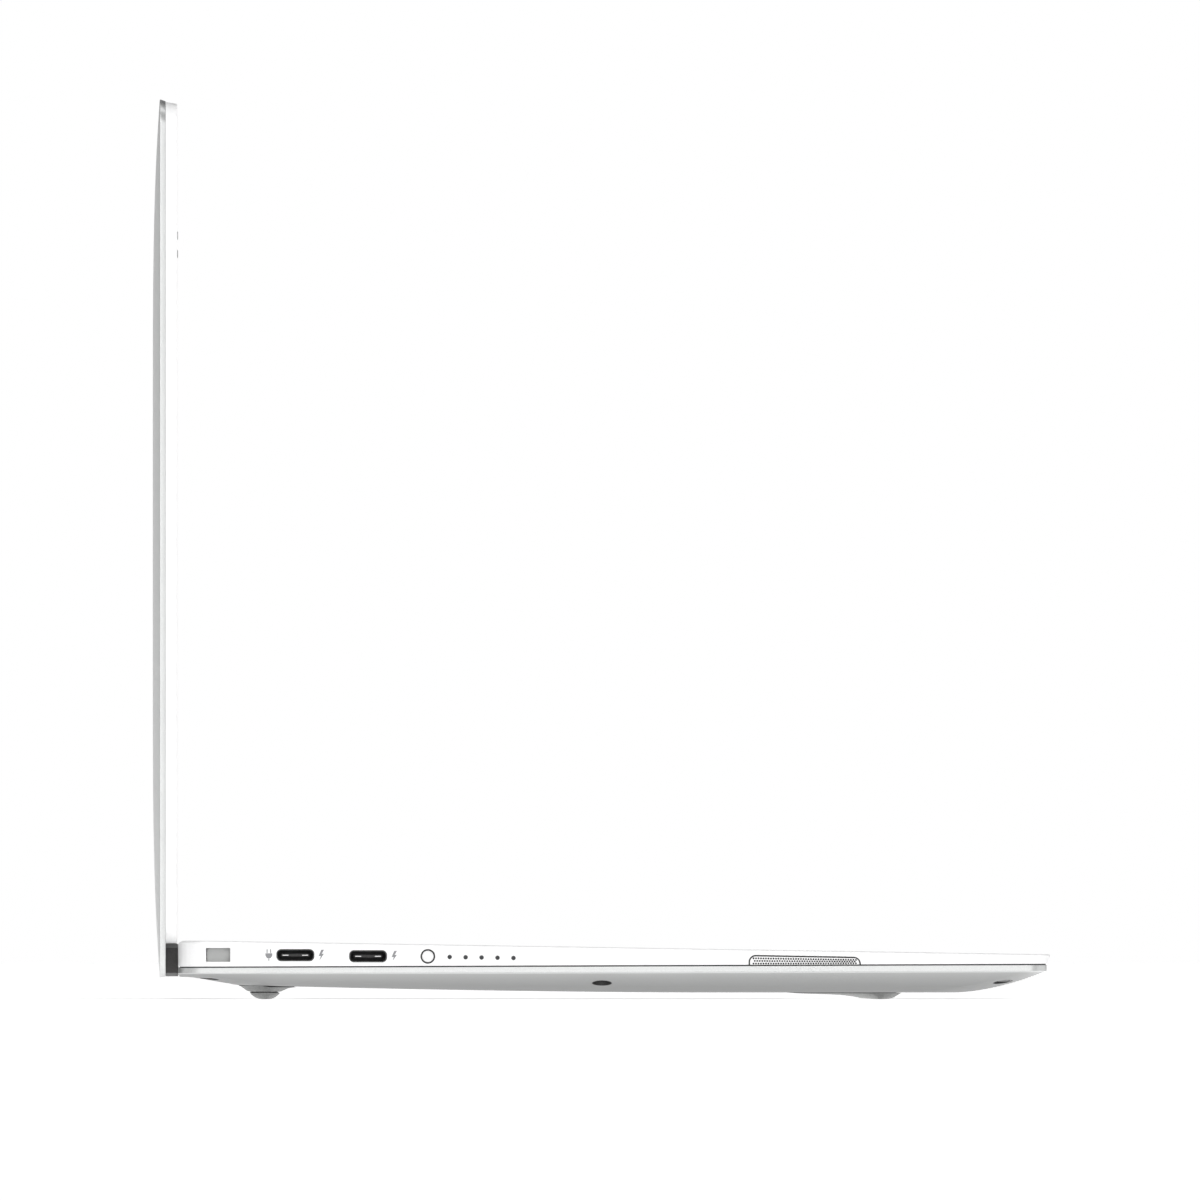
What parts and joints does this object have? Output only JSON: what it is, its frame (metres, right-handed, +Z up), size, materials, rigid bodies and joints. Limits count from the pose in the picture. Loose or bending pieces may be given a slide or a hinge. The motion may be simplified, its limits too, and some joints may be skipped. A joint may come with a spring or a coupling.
{
  "type": "laptop computer",
  "caption": "Slim clamshell laptop computer, open at a right angle, with a friction-hinged lid, keyboard, touchpad, side ports, battery gauge button and long rubber feet.",
  "frame": {"origin": "on the surface the laptop stands on, below the middle of the open machine's outline", "axes": "+Z up; +X across the machine, its left side at -X; the front edge faces -Y and the hinge line is towards +Y"},
  "size_m": [0.302, 0.2012, 0.2019],
  "materials": {
    "silver_aluminium": "bead-blasted, fine speckle",
    "white_deck": "matt woven composite",
    "key_white": "satin key caps",
    "touchpad_glass": "satin coated",
    "dark_hinge": "satin dark grey",
    "foot_rubber": "matt grey",
    "steel": "stamped",
    "screw_steel": "plated",
    "black_plastic": "moulded",
    "circuit_board": "solder mask",
    "copper": "plain",
    "screen_glass": "anti-glare, dark when off",
    "display_panel": "matt",
    "battery_film": "black wrap",
    "lamp_plastic": "smoked",
    "grille_white": "perforated",
    "lens_black": "polished"
  },
  "bodies": {
    "base": {"battery_light_pipe": "lamp_plastic", "battery_pack": "battery_film", "bottom_cover": "silver_aluminium", "bottom_screw_1": "screw_steel", "bottom_screw_2": "screw_steel", "bottom_screw_3": "screw_steel", "bottom_screw_4": "screw_steel", "bottom_screw_5": "screw_steel", "bottom_screw_6": "screw_steel", "bottom_screw_7": "screw_steel", "bottom_screw_8": "screw_steel", "card_slot": "steel", "fan_housing_left": "black_plastic", "fan_housing_right": "black_plastic", "front_foot": "foot_rubber", "headphone_jack": "black_plastic", "heat_pipe": "copper", "heat_sink_left": "copper", "heat_sink_right": "copper", "hinge_base_leaf_left": "steel", "hinge_base_leaf_right": "steel", "keyboard_plate": "steel", "lock_slot_plate": "steel", "motherboard": "circuit_board", "rear_foot": "foot_rubber", "rear_vent_strip": "dark_hinge", "solid_state_drive": "circuit_board", "speaker_box_left": "black_plastic", "speaker_box_right": "black_plastic", "speaker_grille_left": "grille_white", "speaker_grille_right": "grille_white", "top_cover": "white_deck", "usb_c_shell_left_front": "steel", "usb_c_shell_left_rear": "steel", "usb_c_shell_right": "steel", "usb_c_tongue_left_front": "black_plastic", "usb_c_tongue_left_rear": "black_plastic", "usb_c_tongue_right": "black_plastic", "wireless_card": "circuit_board"},
    "lid": {"lid_cover": "silver_aluminium", "bezel": "white_deck", "screen_glass": "screen_glass", "lcd_panel": "display_panel", "webcam": "lens_black", "hinge_bar": "dark_hinge", "hinge_lid_leaf_left": "steel", "hinge_lid_leaf_right": "steel", "lid_bumper_left": "foot_rubber", "lid_bumper_right": "foot_rubber"},
    "fan_left": {"fan_impeller_left": "black_plastic"},
    "fan_right": {"fan_impeller_right": "black_plastic"},
    "touchpad": {"touchpad": "touchpad_glass"},
    "power_button": {"power_button": "silver_aluminium"},
    "battery_button": {"battery_button": "white_deck"},
    "key_row_1": {"key_row_1": "key_white"},
    "key_row_2": {"key_row_2": "key_white"},
    "key_row_3": {"key_row_3": "key_white"},
    "key_row_4": {"key_row_4": "key_white"},
    "key_row_5": {"key_row_5": "key_white"},
    "key_row_6": {"key_row_6": "key_white"}
  },
  "joints": [
    {"name": "lid_hinge", "type": "hinge", "parent": "base", "child": "lid", "pos_m": [0, 0.09145, 0.0098], "axis": [-1, 0, 0], "range_deg": [-90.9, 45]},
    {"name": "fan_left_spin", "type": "hinge", "parent": "base", "child": "fan_left", "pos_m": [-0.085, 0.05335, 0.006], "axis": [0, 0, 1], "continuous": true},
    {"name": "fan_right_spin", "type": "hinge", "parent": "base", "child": "fan_right", "pos_m": [0.085, 0.05335, 0.006], "axis": [0, 0, 1], "continuous": true},
    {"name": "key_row_1_press", "type": "slide", "parent": "base", "child": "key_row_1", "axis": [0, 0.0161, -0.9999], "range_m": [0, 0.001], "stiffness_N_per_m": 600, "springref_m": -0.0005},
    {"name": "key_row_2_press", "type": "slide", "parent": "base", "child": "key_row_2", "axis": [0, 0.0161, -0.9999], "range_m": [0, 0.001], "stiffness_N_per_m": 600, "springref_m": -0.0005},
    {"name": "key_row_3_press", "type": "slide", "parent": "base", "child": "key_row_3", "axis": [0, 0.0161, -0.9999], "range_m": [0, 0.001], "stiffness_N_per_m": 600, "springref_m": -0.0005},
    {"name": "key_row_4_press", "type": "slide", "parent": "base", "child": "key_row_4", "axis": [0, 0.0161, -0.9999], "range_m": [0, 0.001], "stiffness_N_per_m": 600, "springref_m": -0.0005},
    {"name": "key_row_5_press", "type": "slide", "parent": "base", "child": "key_row_5", "axis": [0, 0.0161, -0.9999], "range_m": [0, 0.001], "stiffness_N_per_m": 600, "springref_m": -0.0005},
    {"name": "key_row_6_press", "type": "slide", "parent": "base", "child": "key_row_6", "axis": [0, 0.0161, -0.9999], "range_m": [0, 0.001], "stiffness_N_per_m": 600, "springref_m": -0.0005},
    {"name": "power_button_press", "type": "slide", "parent": "base", "child": "power_button", "axis": [0, 0.0161, -0.9999], "range_m": [0, 0.0005], "stiffness_N_per_m": 800, "springref_m": -0.0005},
    {"name": "touchpad_click", "type": "slide", "parent": "base", "child": "touchpad", "axis": [0, 0.0161, -0.9999], "range_m": [0, 0.0003], "stiffness_N_per_m": 4000, "springref_m": -0.0003},
    {"name": "battery_button_press", "type": "slide", "parent": "base", "child": "battery_button", "axis": [1, 0, 0], "range_m": [0, 0.0004], "stiffness_N_per_m": 500, "springref_m": -0.0004}
  ]
}
